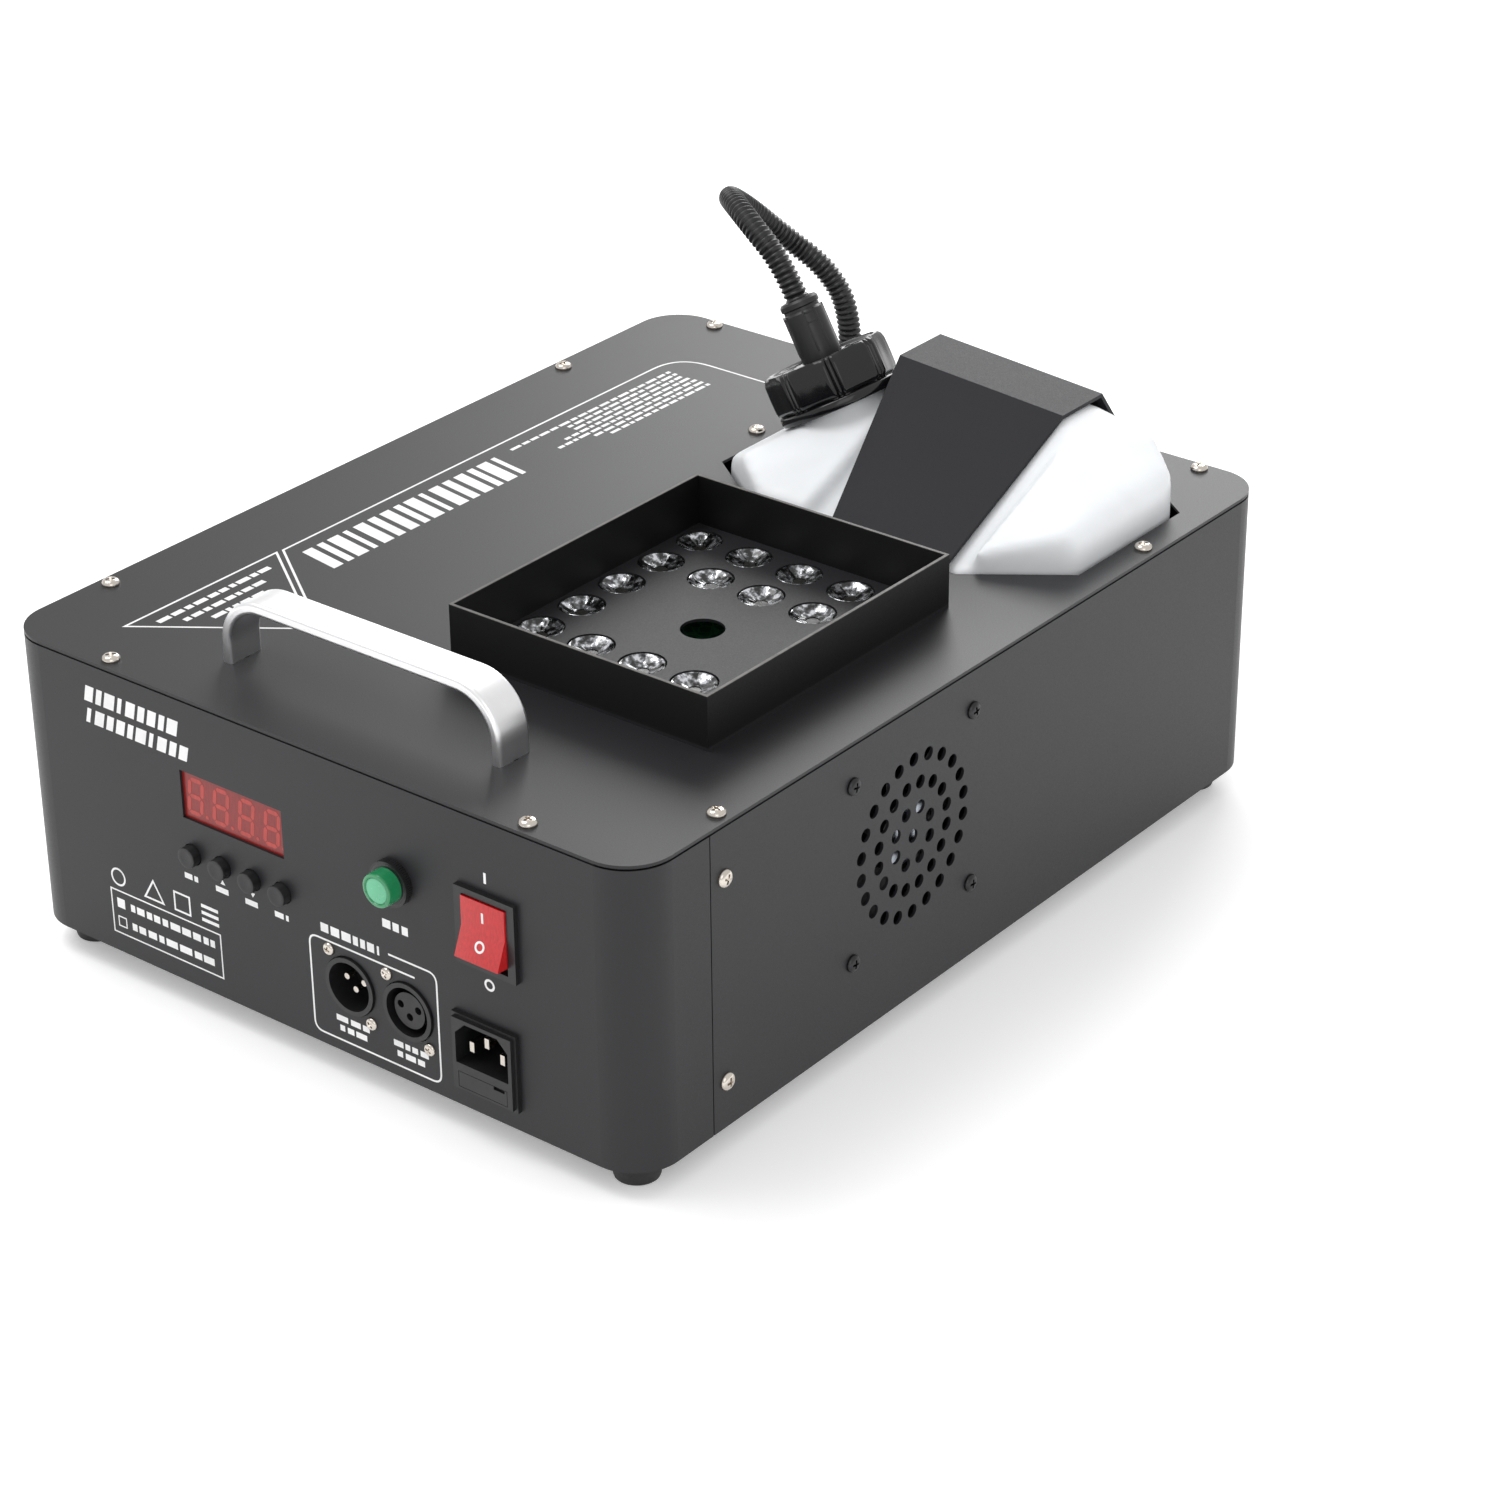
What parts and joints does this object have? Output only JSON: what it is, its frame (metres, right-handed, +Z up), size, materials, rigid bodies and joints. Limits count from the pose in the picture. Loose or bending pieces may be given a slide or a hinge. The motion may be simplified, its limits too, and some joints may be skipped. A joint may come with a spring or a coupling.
{
  "type": "fog machine",
  "caption": "Floor-standing vertical fog machine with a lit nozzle shroud, a lift-out fluid tank held by a strap, a carry handle and a control panel.",
  "frame": {"origin": "under the middle of the machine's outline, on the surface that its feet stand on", "axes": "+Z up, +Y from the control panel to the back, +X to the right as one faces the control panel"},
  "size_m": [0.304, 0.395, 0.2243],
  "materials": {
    "casing_paint": "matte fine powder coat",
    "strap_paint": "matte fine powder coat",
    "shroud_sheet": "matte powder coat with bare edges",
    "zinc_sheet": "zinc-plated sheet",
    "handle_aluminium": "satin",
    "heater_aluminium": "cast",
    "nickel": "nickel plated",
    "black_screw": "black oxide",
    "brass": "turned",
    "tank_plastic": "translucent white, blow moulded",
    "black_gloss": "gloss",
    "black_moulding": "satin moulded",
    "hose_plastic": "ribbed, satin",
    "clear_tube": "translucent",
    "rubber": "matte",
    "lens": "clear moulded lens",
    "window": "dark red filter",
    "display": "red display block",
    "button_grey": "matte, dark sides",
    "green_cap": "gloss",
    "red_rocker": "gloss, translucent",
    "board": "solder mask",
    "fuse_glass": "clear glass with metal ends",
    "pump_yellow": "coil with dark wrapping"
  },
  "bodies": {
    "root": {"base_pan": "casing_paint", "front_panel": "casing_paint", "case_wrap": "casing_paint", "top_plate": "casing_paint", "joint_strips": "zinc_sheet", "light_shroud": "shroud_sheet", "led_lenses": "lens", "led_board": "board", "heater_block": "heater_aluminium", "fog_nozzle": "brass", "heater_stands": "zinc_sheet", "heater_shield": "zinc_sheet", "thermostat": "black_moulding", "fluid_tank": "tank_plastic", "tank_tray": "zinc_sheet", "hose_fitting": "black_moulding", "fluid_hose": "hose_plastic", "hose_gland": "black_moulding", "pickup_tube": "clear_tube", "pickup_filter": "black_moulding", "tank_bracket": "strap_paint", "carry_handle": "handle_aluminium", "handle_screws": "nickel", "rubber_feet": "rubber", "foot_screws": "nickel", "top_screws": "nickel", "strap_screws": "nickel", "side_screws": "nickel", "fan_screws": "black_screw", "fan_frame": "black_moulding", "display_window": "window", "display_module": "display", "control_board": "board", "fog_button_housing": "black_moulding", "rocker_housing": "black_moulding", "power_inlet": "black_moulding", "inlet_pins": "nickel", "signal_out_socket": "black_moulding", "signal_out_pins": "nickel", "signal_in_socket": "black_moulding", "signal_screws": "nickel", "pump_body": "pump_yellow", "pump_bracket": "zinc_sheet", "suction_tube": "clear_tube", "pressure_tube": "nickel", "mains_board": "board", "driver_board": "board"},
    "fan": {"fan_rotor": "black_moulding"},
    "rocker": {"rocker": "red_rocker"},
    "fog_button": {"fog_button": "green_cap"},
    "menu_button": {"menu_button": "button_grey"},
    "up_button": {"up_button": "button_grey"},
    "down_button": {"down_button": "button_grey"},
    "enter_button": {"enter_button": "button_grey"},
    "fuse_drawer": {"fuse_drawer": "black_moulding", "fuse": "fuse_glass"},
    "cap_washer": {"cap_washer": "rubber"},
    "tank_cap": {"tank_cap": "black_gloss"},
    "pump_piston": {"pump_piston": "nickel"}
  },
  "joints": [
    {"name": "fan_spin", "type": "hinge", "parent": "root", "child": "fan", "pos_m": [0.13, -0.0355, 0.078], "axis": [1, 0, 0], "continuous": true},
    {"name": "rocker_tilt", "type": "hinge", "parent": "root", "child": "rocker", "pos_m": [0.0841, -0.1855, 0.0868], "axis": [1, 0, 0], "range_deg": [0, 22]},
    {"name": "fog_press", "type": "slide", "parent": "root", "child": "fog_button", "axis": [0, 1, 0], "range_m": [0, 0.003], "stiffness_N_per_m": 300, "springref_m": -0.0015},
    {"name": "drawer_pull", "type": "slide", "parent": "root", "child": "fuse_drawer", "axis": [0, -1, 0], "range_m": [0, 0.017]},
    {"name": "cap_lift", "type": "slide", "parent": "root", "child": "cap_washer", "axis": [-0.5, 0, 0.866], "range_m": [0, 0.008]},
    {"name": "cap_turn", "type": "hinge", "parent": "cap_washer", "child": "tank_cap", "pos_m": [0.0022, 0.119, 0.15239], "axis": [-0.5, 0, 0.866], "range_deg": [0, 720]},
    {"name": "piston_stroke", "type": "slide", "parent": "root", "child": "pump_piston", "axis": [0, 1, 0], "range_m": [-0.0015, 0.0015], "stiffness_N_per_m": 400},
    {"name": "menu_press", "type": "slide", "parent": "root", "child": "menu_button", "axis": [0, 1, 0], "range_m": [0, 0.0008], "stiffness_N_per_m": 200, "springref_m": -0.0008},
    {"name": "up_press", "type": "slide", "parent": "root", "child": "up_button", "axis": [0, 1, 0], "range_m": [0, 0.0008], "stiffness_N_per_m": 200, "springref_m": -0.0008},
    {"name": "down_press", "type": "slide", "parent": "root", "child": "down_button", "axis": [0, 1, 0], "range_m": [0, 0.0008], "stiffness_N_per_m": 200, "springref_m": -0.0008},
    {"name": "enter_press", "type": "slide", "parent": "root", "child": "enter_button", "axis": [0, 1, 0], "range_m": [0, 0.0008], "stiffness_N_per_m": 200, "springref_m": -0.0008}
  ],
  "couplings": [
    {"joint": "cap_turn", "follows": "cap_lift", "rad_per_m": 1570.8}
  ]
}
